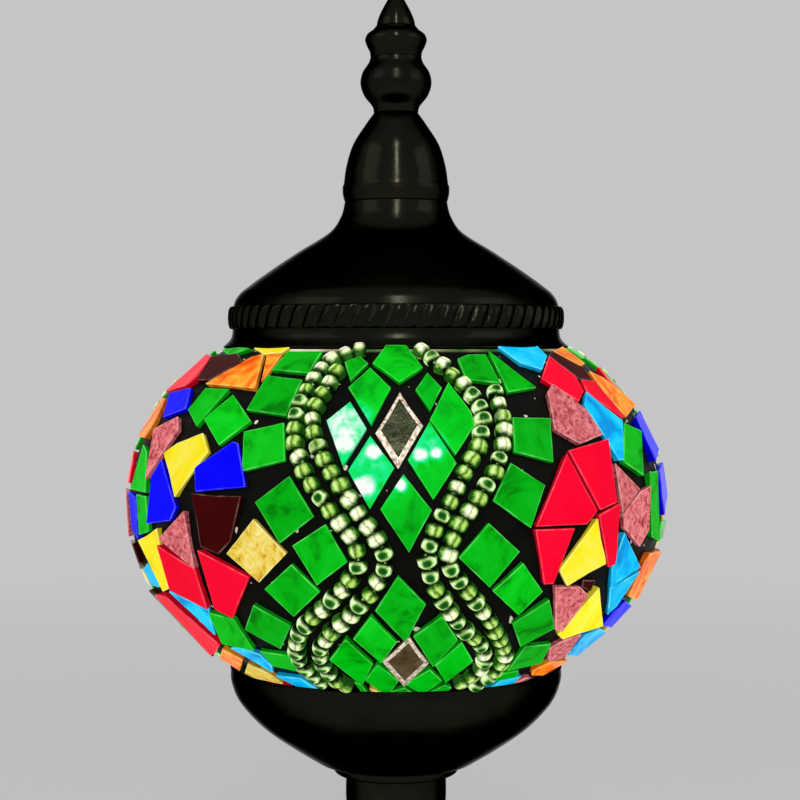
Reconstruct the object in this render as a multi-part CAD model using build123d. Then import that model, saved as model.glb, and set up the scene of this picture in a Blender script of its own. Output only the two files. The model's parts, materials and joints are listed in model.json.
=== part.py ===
from build123d import *
import math
import os

# Mosaic glass table lamp, in millimetres. +Z is up, -Y is the front, and the origin is the centre of
# the foot's underside. Outlines are (radius, height) pairs; the mosaic is laid out by longitude
# (degrees from the front, positive to +X) and latitude (degrees above the globe's widest ring).

# ---- driving dimensions -------------------------------------------------------------------------
GLOBE_RADIUS = 80.0           # over the tiles, at the widest ring
GLOBE_HALF_HEIGHT = 60.0      # over the tiles
EQUATOR_Z = 194.5             # height of the globe's widest ring
TILE_THICKNESS = 2.4
TILE_SEAT = 0.45              # from the glass to a tile's underside
GLASS_WALL = 2.6
GROUT_GAP = 0.06
GROUT_BED = 0.3
GROUT_LINE = 0.4              # left between the faces of tiles that would otherwise touch
TILE_SPREAD = 0.1             # a tile's face is this much outside its laid-out outline
TILE_TAPER = 0.93             # size of a tile's underside against its face, so neighbours clear
SHORTEST_CUT = 0.6            # a tile has no edge shorter than this
NEIGHBOURHOOD = 28.0          # tiles whose middles are farther apart than this can't touch
TOP_OPENING = 40.0            # radius of the globe's upper mouth
BOTTOM_OPENING = 16.0         # radius of the hole round the lampholder

BEAD_RADIUS = 2.2
BEAD_HOLE = 0.6
BEAD_LENGTH = 3.2
BEAD_PITCH = 4.1
BEAD_CLEARANCE = 0.55
MOTIF_TURNS = (0, 120, 240)   # the hourglass motif comes three times round the globe

SHEET = 1.0                   # spun metal
CAP_RIM_Z = 241.4
CAP_TOP_Z = CAP_RIM_Z + 42.8
CUP_FLOOR_Z = 117.5
CUP_RIM_Z = 145.2
CUP_RIM_RADIUS = 49.4
STEM_RADIUS = 15.0

FELT = 2.0
FOOT_RADIUS = 58.6
FOOT_TOP_Z = 46.0
FOOT_BAND_DEPTH = 1.7         # how far a rope band stands out of its groove
CAP_BAND_DEPTH = 1.2
TUBE_RADIUS = 4.9             # M10 x 1 threaded lamp tube
TUBE_BORE = 3.6
TUBE_CLEARANCE = 0.1
TUBE_TOP_Z = 131.0

SOCKET_RADIUS = 13.6
SOCKET_TOP_Z = 167.0
SHELL_BORE = 7.05             # E14 screw shell
BULB_CAP_RADIUS = 6.95        # E14 bulb cap
BULB_CAP_Z = 145.4
BULB_CENTRE_Z = 195.0
BULB_RADIUS = 22.5
BULB_WALL = 0.7
ROD_RADIUS = 2.0              # M4 finial rod


# ---- helpers ------------------------------------------------------------------------------------
def section(points):
    """Outline points, placed in the XZ plane."""
    return [(radius, 0, height) for radius, height in points]


def turned(outline):
    """A solid of revolution from a closed outline of straight lines."""
    return revolve(make_face(Polyline(*section(outline), close=True)), axis=Axis.Z)


def ring(inner, outer, low, high):
    """A plain ring, washer or tube."""
    return turned([(inner, low), (outer, low), (outer, high), (inner, high)])


def turned_round(points, bore):
    """A turned knob: a smooth outside curve round a straight bore."""
    low = points[0][1]
    high = points[-1][1]
    outside = Spline(*section(points))
    inside = Polyline(*section([points[-1], (bore, high), (bore, low), points[0]]))
    return revolve(make_face(outside + inside), axis=Axis.Z)


def moved_inwards(points, depth):
    """The points of a curve, each moved square to the curve and to the left of its direction."""
    moved = []
    last = len(points) - 1
    for i, (radius, height) in enumerate(points):
        before = points[max(i - 1, 0)]
        after = points[min(i + 1, last)]
        run = math.hypot(after[0] - before[0], after[1] - before[1])
        step_r = -(after[1] - before[1]) / run * depth
        step_z = (after[0] - before[0]) / run * depth
        moved.append((radius + step_r, height + step_z))
    return moved


def spun(points, sheet=SHEET):
    """A spun sheet-metal shell. The points run along its outside, with its inside on their left."""
    inner = moved_inwards(points, sheet)
    outside = Spline(*section(points))
    inside = Spline(*section(inner))
    rims = Line(*section([points[0], inner[0]])) + Line(*section([points[-1], inner[-1]]))
    return revolve(make_face(outside + inside + rims), axis=Axis.Z)


def hexagon_nut(across_corners, bore, low, height):
    """A plain hexagon nut with its underside at a given height."""
    body = extrude(Plane.XY.offset(low) * RegularPolygon(across_corners / 2, 6), amount=height)
    return body - Pos(0, 0, low + height / 2) * Cylinder(bore, height * 2)


def ellipsoid(radius, half_height):
    """A flattened globe about the lamp's axis."""
    arc = EllipticalCenterArc((0, 0), radius, half_height, start_angle=-90, arc_size=180)
    chord = Line((0, -half_height), (0, half_height))
    upright = Plane.XZ * make_face(arc + chord)
    return Pos(0, 0, EQUATOR_Z) * revolve(upright, axis=Axis.Z)


def on_globe(lon, lat, lift):
    """A point above the glass, and the outward direction there."""
    lon = math.radians(lon)
    lat = math.radians(lat)
    radius = GLASS_RADIUS * math.cos(lat)
    point = Vector(radius * math.sin(lon), -radius * math.cos(lon), GLASS_HALF_HEIGHT * math.sin(lat))
    normal = Vector(
        point.X / GLASS_RADIUS**2, point.Y / GLASS_RADIUS**2, point.Z / GLASS_HALF_HEIGHT**2
    ).normalized()
    return point + normal * lift + Vector(0, 0, EQUATOR_Z), normal


GLASS_RADIUS = GLOBE_RADIUS - TILE_THICKNESS - TILE_SEAT
GLASS_HALF_HEIGHT = GLOBE_HALF_HEIGHT - TILE_THICKNESS - TILE_SEAT


# ---- mosaic layout ------------------------------------------------------------------------------
# Every tile is a list of corners (longitude, latitude), clockwise or not, always convex.
MOTIF = {
    "green": [
        # squares outside the bead strands, left and right
        [(-33.5, 47.5), (-22, 47.5), (-22.5, 40), (-34, 41)],
        [(-34, 38.8), (-23.3, 37.5), (-24, 27), (-34.5, 28.5)],
        [(-33, 22.5), (-24, 25), (-22, 15.5), (-31, 12.5)],
        [(-20.5, 11.5), (-15.3, 2), (-22, -4.7), (-27.3, 5)],
        [(-13, 0.2), (-9, -9.3), (-15.2, -15), (-19.5, -5.3)],
        [(-20, -10), (-15, -17), (-21.5, -24.2), (-26.7, -17)],
        [(-30.5, -21.8), (-23.2, -27.5), (-28.5, -35.5), (-36, -30)],
        [(-36, -38), (-28, -38.5), (-27.5, -45.5), (-36, -44)],
        [(17.5, 45), (21, 46.5), (26.5, 46.5), (26, 36.5), (17.5, 38)],
        [(28, 47), (35.5, 35.2), (27.2, 34)],
        [(25.5, 26.5), (35, 26), (32.5, 14.7), (24, 17.7)],
        [(22.5, 15), (29.7, 9), (26, -1.2), (18.3, 6)],
        [(17.5, 0.3), (24, -7), (18.5, -15.7), (12, -8)],
        [(25, -10), (30.8, -18), (26.5, -24.2), (19.5, -17)],
        [(33, -20.5), (38.5, -29.8), (31, -35), (26, -27)],
        [(32.7, -35.5), (41.5, -36), (45, -44), (33.5, -45.5)],
        [(33, -47.5), (39, -47), (42, -50.5), (33, -51.5)],
        # diamonds of the upper lens
        [(-2.8, 50), (3.2, 50), (7, 42), (1, 37), (-6, 43.5)],
        [(-6.5, 41.5), (-1.2, 35.5), (-5, 24.8), (-11, 35.5)],
        [(-14.5, 43.5), (-10, 46), (-7.5, 43.5), (-11.5, 37)],
        [(-10, 31), (-6, 24), (-10, 14.2), (-14.5, 26)],
        [(-5, 21.7), (-0.3, 14), (-5, 3.3), (-9.3, 12.5)],
        [(12.5, 36.3), (17.5, 26), (11.7, 17), (7.3, 26.3)],
        [(7, 25.3), (11.8, 15), (7, 6.2), (2.5, 16)],
        [(1.5, 12.3), (6.7, 3.7), (2.5, -6.3), (-2.7, 4)],
        [(8, 40), (10.8, 35.5), (7.5, 29), (4.8, 35)],
        # diamonds of the lower lens
        [(0.5, -12.3), (6, -20.2), (2.2, -31), (-4, -22)],
        [(-5, -23.5), (0.2, -32), (-3.5, -39), (-9.3, -31)],
        [(9.5, -23.5), (14, -31.5), (9.5, -40.5), (4, -30)],
        [(-11, -30.5), (-5.7, -40.5), (-10, -49.5), (-16.5, -39)],
        [(15, -32), (20, -40), (15, -48.5), (10.3, -41)],
        [(-4.5, -40), (1, -48), (-3, -56.5), (-9, -48)],
        [(9, -42.5), (14, -48.7), (9.5, -56), (3, -50)],
        [(-14.5, -48), (-11, -50.5), (-10, -58), (-14.5, -58)],
        [(-1.5, -55), (3, -52.5), (7.5, -58), (-3, -58.5)],
        [(16, -51.5), (19, -53.5), (18.5, -58.5), (10.5, -58)],
    ],
    "mirror": [
        [(1, 34), (5.7, 25), (0.5, 13.5), (-4, 23)],
        [(3, -30), (8.7, -41), (2.5, -51), (-3.6, -40.3)],
    ],
    "amber": [
        [(-8.5, -53), (-4, -57.5), (-8.5, -58.5)],
    ],
}

LEFT_PANEL = {
    "green": [
        [(-70, 48), (-60, 49.5), (-52, 48.7), (-60, 46.5)],
        [(-53.5, 34.5), (-44, 34.3), (-47.7, 23.5), (-54.7, 28)],
        [(-41, 32.6), (-32.4, 25.5), (-38.5, 18.8), (-46.3, 25.5)],
        [(-69.7, 17), (-66, 15.5), (-60.2, 5), (-71, 5)],
        [(-66, 4), (-60.7, 4), (-59.5, -5), (-65, -6.5)],
        [(-45.2, -25.8), (-37.8, -27), (-37.8, -37.5), (-48.7, -36.8)],
    ],
    "red": [
        [(-84, 45.5), (-73, 45.5), (-63, 37), (-66, 34.7), (-84, 32)],
        [(-88, 14), (-76, 11), (-72.5, 6.5), (-88, 5)],
        [(-55.2, -8), (-44, -13.3), (-44.2, -24.3), (-56.8, -20.6)],
        [(-41.2, -7.7), (-29.6, -13.8), (-37.6, -26.2), (-42, -24.2)],
        [(-66.5, -23), (-59.7, -22.3), (-49.8, -37), (-60, -42.3), (-67, -44)],
        [(-57, -56.5), (-46, -56), (-46, -58.5), (-57, -58.5)],
    ],
    "dark_red": [
        [(-70, 45), (-56, 47), (-47.7, 43.7), (-54.5, 37.3), (-62, 37)],
        [(-43.4, 6.2), (-30.5, 6.3), (-33.2, -5), (-36.4, -8.5), (-41, -7)],
        [(-88, -11), (-73, -10), (-71.5, -15), (-86, -19)],
        [(-79, -24), (-67.5, -24), (-68.2, -45), (-75, -45)],
    ],
    "blue": [
        [(-74, 32), (-66, 34), (-61.5, 34.3), (-55.5, 28), (-66, 25.3)],
        [(-35, 19.8), (-33.4, 19.3), (-29.5, 8.6), (-42, 6.7), (-43.7, 12.6)],
        [(-58.8, 9.5), (-55.4, 13.8), (-48, 2.3), (-49.8, -1.2), (-59, -2.9)],
        [(-73, 4), (-66.8, 3.2), (-66.6, -8), (-71.5, -6)],
    ],
    "cyan": [
        [(-58.2, -21.3), (-45, -25), (-49.8, -34.2)],
        [(-70.5, -17), (-65, -14.5), (-62, -19.5), (-63.5, -21), (-70.5, -21.5)],
        [(-47.5, -38.8), (-43.5, -37.9), (-37, -39.3), (-37.2, -44.5), (-40.2, -47.8)],
        [(-40.2, -49.5), (-30.5, -49.3), (-29.5, -56), (-37.5, -58.3)],
    ],
    "yellow": [
        [(-52, 49.8), (-35, 49.8), (-36, 47.6), (-43, 47.2)],
        [(-56.2, 15.7), (-52.5, 18.6), (-44.5, 21.6), (-41, 16.8), (-48.4, 4.8)],
        [(-66.8, -8.3), (-55, -3.7), (-57, -20.3), (-60.8, -21.6)],
    ],
    "amber": [
        [(-27.5, 0.8), (-21, -7.3), (-27.5, -15), (-34.2, -8.2)],
        [(-85, -21), (-72, -17), (-71, -22), (-80, -23)],
        [(-45.7, -44), (-41.6, -48.7), (-44, -54.5), (-65, -55.5), (-65.5, -53)],
    ],
    "orange": [
        [(-54.5, 35.6), (-46.6, 45.2), (-42, 46.5), (-35.2, 34.5)],
        [(-40.5, 46.6), (-35.2, 46.6), (-34.7, 37)],
        [(-84, 30), (-77, 30.5), (-70.7, 24.5), (-70.7, 19), (-84, 18.5)],
        [(-51.7, -39.4), (-46.3, -42.3), (-65.5, -51.5), (-68, -46.5)],
    ],
    "mauve": [
        [(-67, 21.7), (-57.3, 25.7), (-54.4, 22.3), (-60.2, 8.5)],
        [(-88, 3.5), (-75, 3), (-74, -8), (-88, -9)],
        [(-55, -6.6), (-45.2, 1.6), (-43.8, -13)],
    ],
}

RIGHT_PANEL = {
    "green": [
        [(60.5, 23.7), (68.3, 21), (60.5, 9.5), (53, 13.6)],
        [(63.8, 10), (69.2, 10), (69.7, -8.7), (64.2, -7)],
        [(71, -4), (85, -5), (84, -10), (71, -9)],
        [(72, 49), (84, 48.5), (84, 45), (72, 45)],
    ],
    "red": [
        [(38.8, 37.4), (49.5, 45.2), (53.6, 38.5), (51.6, 33.7), (46.5, 30.4)],
        [(53, 33.2), (54.6, 37.2), (61.5, 36.7), (62.4, 26.5), (61.4, 25.3)],
        [(35.5, 16.4), (42.3, 1.8), (39.5, -1.2), (27, -0.9)],
        [(36.7, 17.3), (49.6, 19.7), (48.3, 3.5), (43, 2)],
        [(27, -1.6), (38.7, -2), (34, -11.7), (33, -16), (30.7, -15.9)],
        [(42.7, 0.8), (49, 3.2), (49.9, -12.5), (47.5, -13)],
        [(80, 41), (84, 30), (81, 29), (74, 36)],
    ],
    "dark_red": [
        [(50.3, 45.7), (55, 47.5), (62.7, 41.5), (60.5, 37), (54.5, 37.6)],
        [(41.3, -16.2), (45, -16.7), (44.7, -19.5), (41.5, -18)],
        [(58, -56.5), (73, -53.5), (75, -56), (62, -58.5)],
    ],
    "blue": [
        [(71, 9.5), (85, 11), (88, 2), (71, -2)],
        [(71, 24.5), (84, 26), (85, 14.5), (69.7, 12.5)],
        [(60.3, -28.7), (64.5, -25.5), (77, -28.7), (73.5, -35.5), (60.8, -32.7)],
    ],
    "cyan": [
        [(33.5, 49.8), (51, 49.8), (50, 46), (42, 41), (36.5, 43.5)],
        [(48, 29.5), (51.6, 33), (60.9, 24.5), (53.4, 13.9), (51.3, 14)],
        [(50.6, -4.2), (62.4, -15), (51.8, -19.4), (49.8, -13.5)],
        [(52.2, -20), (62.4, -16.2), (60.7, -26.5), (58.2, -28.6)],
        [(52.3, -34.2), (60, -33.7), (72, -37), (69.5, -45.7), (57, -43.1)],
        [(37, -52), (45, -51.2), (49.5, -57), (38, -58.3)],
    ],
    "yellow": [
        [(42, 0), (47, -12.1), (36.5, -17.1), (33.9, -12.5)],
        [(45.6, -17.8), (59.6, -32.4), (45, -34.9), (41.2, -32.5)],
    ],
    "amber": [
        [(92.5, 0.8), (99, -7.3), (92.5, -15), (86, -8.2)],
        [(75, -36.5), (81, -32), (82.5, -37), (76, -43)],
    ],
    "orange": [
        [(57, 47.7), (69, 49.5), (69, 43), (63.5, 42.3)],
        [(63.5, 39.7), (71, 37.5), (79, 28), (63.4, 25.2), (62.2, 33)],
        [(65.3, -11.7), (81, -13), (79, -27), (62.4, -23.2), (63.3, -15.5)],
        [(45.4, -47.3), (50, -44.3), (68, -48), (67, -54.5), (52, -51.8)],
    ],
    "mauve": [
        [(38.2, 33.5), (41.6, 36), (48, 28), (48.8, 21), (40.8, 18.9), (35.3, 23)],
        [(50.1, 13.2), (58, 6.2), (50.5, 1)],
        [(50.5, 0.2), (58.3, 5.5), (62.7, 6.5), (62.3, -5), (58.3, -8.8), (51.2, -3.2)],
        [(33.3, -16.8), (40.9, -17.8), (44.4, -20.5), (41.6, -31.2), (38.6, -30.2)],
        [(42.3, -37.6), (45.5, -35.3), (51.5, -34.1), (56, -43.7), (48.7, -44.3)],
        [(83, -13), (89, -18), (85, -27), (81.5, -24)],
        [(51, -53.5), (57, -54.7), (55.5, -58.5), (51.5, -58)],
    ],
}

# Each motif has two strands of beads on either side, from the cap down to the cup.
STRANDS = [
    [(-14.8, 40.2), (-16.2, 35.6), (-17.6, 30), (-17.2, 24), (-13, 14), (-6, 2), (-2, -9), (-6, -19), (-13, -28),
     (-18.5, -36), (-19, -43), (-15.5, -51)],
    [(-10.5, 48.3), (-15, 46.2), (-18.5, 42.5), (-20.5, 37), (-21.5, 30), (-21, 23), (-19, 16), (-12, 3),
     (-7, -9), (-12.5, -19), (-20.5, -28), (-24.5, -36), (-25, -43), (-22, -52)],
    [(7.5, 48), (10.8, 44), (14, 40), (17, 35), (18.9, 28), (15.5, 17), (9, 3), (6, -9), (10, -20),
     (16, -29), (22, -37), (23.5, -43), (19, -50.5)],
    [(23.8, 34), (23.3, 26), (20.5, 15), (13.5, 3), (10, -9), (15, -18), (21, -27),
     (27, -36), (29, -43), (25, -52)],
]


def inset(corners, depth):
    """A convex outline of flat points, made smaller by the same distance on every side."""
    count = len(corners)
    centre = sum(corners, Vector()) / count
    edges = []
    for i in range(count):
        start = corners[i]
        along = (corners[(i + 1) % count] - start).normalized()
        inwards = (centre - start) - along * (centre - start).dot(along)
        edges.append((start + inwards.normalized() * depth, along))
    smaller = []
    for i in range(count):
        point_a, along_a = edges[i - 1]
        point_b, along_b = edges[i]
        across = along_a - along_b * along_a.dot(along_b)
        gap = point_b - point_a
        reach = gap.dot(across) / along_a.dot(across)
        smaller.append(point_a + along_a * reach)
    return smaller


def laid_out(corners, turn):
    """The flat outline that a tile is laid out to, with its middle and outward direction."""
    lon = sum(corner[0] for corner in corners) / len(corners) + turn
    lat = sum(corner[1] for corner in corners) / len(corners)
    lift = TILE_SEAT + TILE_THICKNESS
    middle, normal = on_globe(lon, lat, lift)
    flat = []
    for corner_lon, corner_lat in corners:
        point = on_globe(corner_lon + turn, corner_lat, lift)[0]
        flat.append(point - normal * (point - middle).dot(normal))
    return inset(flat, GROUT_LINE), middle, normal


def nearest_on_edge(point, start, end):
    """The place on an edge that is nearest to a point."""
    edge = end - start
    length = edge.dot(edge)
    if length == 0:
        return start
    return start + edge * min(max((point - start).dot(edge) / length, 0), 1)


def gap_between(outline, other):
    """The nearest places of two outlines: one place on each. An outline may be a single point."""
    pairs = []
    for i in range(len(outline)):
        for j in range(len(other)):
            pairs.append((outline[i], nearest_on_edge(outline[i], other[j - 1], other[j])))
            pairs.append((nearest_on_edge(other[j], outline[i - 1], outline[i]), other[j]))
    return min(pairs, key=lambda pair: (pair[1] - pair[0]).length)


def cut_along(corners, place, away):
    """What is left of an outline after a straight cut at a place, square to a direction."""
    kept = []
    count = len(corners)
    for i in range(count):
        start = corners[i]
        end = corners[(i + 1) % count]
        start_over = (start - place).dot(away)
        end_over = (end - place).dot(away)
        if start_over <= 0:
            kept.append(start)
        if start_over * end_over < 0:
            kept.append(start + (end - start) * (start_over / (start_over - end_over)))
    return kept


def without_short_edges(corners):
    """An outline with the corners left out that are very near the one before."""
    kept = []
    for corner in corners:
        if not kept or (corner - kept[-1]).length > SHORTEST_CUT:
            kept.append(corner)
    if (kept[0] - kept[-1]).length < SHORTEST_CUT:
        kept.pop()
    return kept


def nipped(outline, middle, normal, neighbours, beads):
    """A tile's face: spread out from its laid-out outline, and cut to clear what is next to it."""
    face = inset(outline, -GROUT_LINE - TILE_SPREAD)
    obstacles = [(other, 0.5, GROUT_LINE / 2) for other in neighbours]
    obstacles += [([place], 1, BEAD_RADIUS + BEAD_CLEARANCE) for place in beads]
    for other, share, clearance in obstacles:
        flat = [point - normal * (point - middle).dot(normal) for point in other]
        near, far = gap_between(outline, flat)
        away = (far - near).normalized()
        face = cut_along(face, near + (far - near) * share - away * clearance, away)
    return without_short_edges(face)


def tile(face, middle, normal):
    """One flat tile: its face, and its smaller underside that lies on the grout."""
    drop = normal * TILE_THICKNESS
    under = [middle + (corner - middle) * TILE_TAPER - drop for corner in face]
    faces = [make_face(Polyline(*outline, close=True)) for outline in (face, under)]
    return loft(faces, ruled=True)


def bead(centre, along):
    """One glass seed bead, a short tube lying along its strand."""
    lying = Plane(origin=centre, z_dir=along)
    return lying * (Cylinder(BEAD_RADIUS, BEAD_LENGTH) - Cylinder(BEAD_HOLE, BEAD_LENGTH * 2))


def strand(points, turn):
    """The middles and directions of beads at an even pitch along a curve of longitudes and latitudes."""
    curve = Spline(*points)
    lift = GROUT_GAP * 2 + GROUT_BED + BEAD_RADIUS
    steps = 1200
    beads = []
    walked = BEAD_PITCH
    last = None
    for i in range(steps + 1):
        place = curve @ (i / steps)
        spot = on_globe(place.X + turn, place.Y, lift)[0]
        if last is not None:
            walked += (spot - last).length
        if walked >= BEAD_PITCH and last is not None:
            beads.append((spot, (spot - last).normalized()))
            walked = 0
        last = spot
    return beads


# ---- globe --------------------------------------------------------------------------------------
def glass_globe():
    """The blown glass globe, open at the top and round the lampholder."""
    hollow = ellipsoid(GLASS_RADIUS - GLASS_WALL, GLASS_HALF_HEIGHT - GLASS_WALL)
    mouth = Pos(0, 0, EQUATOR_Z + GLASS_HALF_HEIGHT / 2) * Cylinder(TOP_OPENING, GLASS_HALF_HEIGHT)
    hole = Pos(0, 0, EQUATOR_Z - GLASS_HALF_HEIGHT / 2) * Cylinder(BOTTOM_OPENING, GLASS_HALF_HEIGHT)
    return ellipsoid(GLASS_RADIUS, GLASS_HALF_HEIGHT) - hollow - mouth - hole


def grout_bed():
    """The thin black bed under the tiles, which stops short of both openings."""
    low = GROUT_GAP
    high = GROUT_GAP + GROUT_BED
    bed = ellipsoid(GLASS_RADIUS + high, GLASS_HALF_HEIGHT + high)
    bed -= ellipsoid(GLASS_RADIUS + low, GLASS_HALF_HEIGHT + low)
    upper = Pos(0, 0, EQUATOR_Z + GLASS_HALF_HEIGHT / 2) * Cylinder(TOP_OPENING + 3, GLASS_HALF_HEIGHT + 2)
    lower = Pos(0, 0, EQUATOR_Z - GLASS_HALF_HEIGHT / 2) * Cylinder(BOTTOM_OPENING + 14, GLASS_HALF_HEIGHT + 2)
    return bed - upper - lower


def globe_gasket():
    """The felt ring inside the cup's rim that the globe sits on."""
    drop = 1.6
    points = []
    for radius in (43.5, CUP_RIM_RADIUS - SHEET - 0.4):
        height = GLOBE_HALF_HEIGHT * math.sqrt(1 - (radius / GLOBE_RADIUS) ** 2)
        points.append((radius, EQUATOR_Z - height - drop))
    floor = CUP_RIM_Z - 4.2
    return turned([(points[0][0], floor), (points[1][0], floor), points[1], points[0]])


# ---- foot and stem ------------------------------------------------------------------------------
GROMMET_Z = 15.2
GROMMET_BORE = 2.2
GROMMET_NECK = 3.2
GROMMET_FLANGE = 4.2
FOOT_WALL_RADIUS = 57.5
BAND_LOW_Z = 4.6
BAND_HIGH_Z = 10.6
FOOT_CURVE = [
    (FOOT_RADIUS, FELT + 0.6), (FOOT_WALL_RADIUS, 5), (FOOT_WALL_RADIUS, 9.5), (FOOT_WALL_RADIUS, 14.5),
    (55.3, 19.5), (49, 23.8), (40, 27), (30.5, 30.6), (23, 35.5), (18.8, 41), (17.5, FOOT_TOP_Z),
]


def sideways(solid):
    """Turn a solid built about Z to lie along +Y, through the back of the foot."""
    return Pos(0, FOOT_WALL_RADIUS, GROMMET_Z) * Rot(-90, 0, 0) * solid


def foot_dome():
    """The spun foot, with a hole for the cord at the back."""
    return spun(FOOT_CURVE) - sideways(Cylinder(GROMMET_NECK + TUBE_CLEARANCE, 12))


def rope_band(radius, depth, low, high):
    """The half-round band that carries the rope pattern."""
    middle = (low + high) / 2
    face = make_face(
        ThreePointArc((radius, 0, low), (radius + depth, 0, middle), (radius, 0, high))
        + Line((radius, 0, high), (radius, 0, low))
    )
    return revolve(face, axis=Axis.Z)


def cord_grommet():
    """The plastic sleeve that lines the cord's hole."""
    sleeve = Cylinder(GROMMET_NECK, 5)
    sleeve += Pos(0, 0, 1.2) * Cylinder(GROMMET_FLANGE, 1.4)
    return sideways(sleeve - Cylinder(GROMMET_BORE, 12))


def bottom_plate():
    """The steel plate inside the foot's rim."""
    return ring(TUBE_RADIUS + TUBE_CLEARANCE, FOOT_WALL_RADIUS - 1.6, FELT + 0.1, FELT + 1.5)


def lock_washer():
    """A split spring washer over the bottom plate."""
    washer = ring(TUBE_RADIUS + TUBE_CLEARANCE, 8.5, FELT + 1.6, FELT + 2.8)
    return washer - Pos(7, 0, FELT + 2.2) * Box(6, 1.2, 4)


def stem_knop():
    """The ball in the middle of the stem, spun hollow."""
    return spun([(7.5, 50.2), (12, 51.5), (16.3, 57), (17.5, 64), (16.3, 71), (12.5, 77), (9, 79.5), (8, 82)])


def stem_column():
    """The vase-shaped upper stem, spun hollow."""
    return spun([(9.5, 82.2), (9.6, 85), (10.8, 90), (13.4, 97), (STEM_RADIUS, 104), (STEM_RADIUS, 112.9)])


# ---- lampholder ---------------------------------------------------------------------------------
SOCKET_FLANGE_Z = 136.8


def socket_body():
    """The black lampholder: a threaded barrel with the shoulder that carries the globe."""
    barrel = turned([
        (TUBE_RADIUS + TUBE_CLEARANCE, 125), (11, 125), (SOCKET_RADIUS, 128), (SOCKET_RADIUS, SOCKET_FLANGE_Z),
        (18.5, SOCKET_FLANGE_Z), (18.5, SOCKET_FLANGE_Z + 1.6), (SOCKET_RADIUS, SOCKET_FLANGE_Z + 1.6),
        (SOCKET_RADIUS, SOCKET_TOP_Z), (11.2, SOCKET_TOP_Z), (11.2, 134), (TUBE_RADIUS + TUBE_CLEARANCE, 134),
    ])
    return barrel


def shade_ring():
    """The threaded ring that clamps the globe on the lampholder's shoulder."""
    collar = ring(SOCKET_RADIUS + 0.1, 15.2, 142.3, 149.3)
    grip = ring(SOCKET_RADIUS + 0.1, 20.5, 142.3, 145.3)
    body = collar + grip
    for i in range(12):
        notch = Rot(0, 0, i * 30) * Pos(21, 0, 144) * Cylinder(1.4, 6)
        body -= notch
    return body


def terminal_screws():
    """The two screws that hold the wires, inside the lampholder's base."""
    return [Pos(x, 0, 136.5) * Cylinder(1.6, 5) for x in (-8, 8)]


def socket_insulator():
    """The ceramic core that holds the screw shell."""
    floor = 140.0
    core = turned([
        (1.6, floor), (11, floor), (11, SOCKET_TOP_Z - 1), (SHELL_BORE + 0.5, SOCKET_TOP_Z - 1),
        (SHELL_BORE + 0.5, floor + 2.5), (1.6, floor + 2.5),
    ])
    return core


# ---- bulb ---------------------------------------------------------------------------------------
def bulb_glass():
    """The bulb's round glass with its neck."""
    neck_low = BULB_CAP_Z + 21.7
    neck_high = BULB_CENTRE_Z - 10
    middle = (neck_low + neck_high) / 2
    outer = Pos(0, 0, BULB_CENTRE_Z) * Sphere(BULB_RADIUS)
    outer += Pos(0, 0, middle) * Cylinder(6.8, neck_high - neck_low)
    inner = Pos(0, 0, BULB_CENTRE_Z) * Sphere(BULB_RADIUS - BULB_WALL)
    inner += Pos(0, 0, middle) * Cylinder(6.8 - BULB_WALL, neck_high - neck_low)
    return outer - inner


def bulb_filament():
    """The filament: an open loop of coiled wire."""
    loop = CenterArc((0, 0, 0), 6, 20, 320)
    wire = sweep(Plane(origin=loop @ 0, z_dir=loop % 0) * Circle(0.3), path=loop)
    return Pos(0, 0, BULB_CENTRE_Z - 3) * wire


# ---- cap ----------------------------------------------------------------------------------------
CAP_CURVE = [
    (51.2, 0), (49.3, 2), (48.75, 4), (48.7, 8), (48.3, 12.4), (46.6, 15.4), (43.6, 17.9), (39.8, 20.7),
    (34.3, 24.5), (28.5, 28.3), (19.8, 33.8), (16.4, 38.6), (15.3, 42.8),
]
BELL_CURVE = [(15.3, 42.9), (15.9, 47), (14.8, 53.6), (12.8, 60), (9, 66), (6.6, 69.3)]
BALL_CURVE = [(6.6, 69.4), (7.1, 71.4), (9.5, 74.5), (10.6, 78), (10, 81.3), (8.2, 84.1), (7.6, 85.8)]
RING_CURVE = [(7.6, 85.9), (7.8, 87.4), (8.7, 89.3), (9.2, 91), (8.6, 92.6), (7, 93.9), (6, 95)]
TIP_CURVE = [(5.8, 95.1), (5.4, 97), (4.5, 99.2), (3.4, 101.3), (2.4, 103.1), (1.5, 104.8)]
TIP_TOP = 106.5


def raised(points, height):
    """An outline moved up."""
    return [(radius, z + height) for radius, z in points]


def cap_dome():
    """The spun cap, closed at the top round the finial rod."""
    shell = spun(raised(CAP_CURVE, CAP_RIM_Z))
    top = ring(ROD_RADIUS + TUBE_CLEARANCE, 15.0, CAP_TOP_Z - SHEET, CAP_TOP_Z)
    return shell + top


def finial_tip():
    """The pointed nut that holds the finial together."""
    low = CAP_RIM_Z + TIP_CURVE[0][1]
    cone = turned_round(raised(TIP_CURVE, CAP_RIM_Z) + [(0.01, CAP_RIM_Z + TIP_TOP)], 0)
    return cone - Pos(0, 0, low) * Cylinder(ROD_RADIUS + TUBE_CLEARANCE, 8)


# ---- export -------------------------------------------------------------------------------------
def save(name, *pieces):
    """Write one sub-part, as one solid or a group of separate solids."""
    solids = []
    for piece in pieces:
        solids.extend(piece.solids())
    shape = solids[0] if len(solids) == 1 else Compound(children=solids)
    export_step(shape, os.path.join("parts", name + ".step"))


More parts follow.
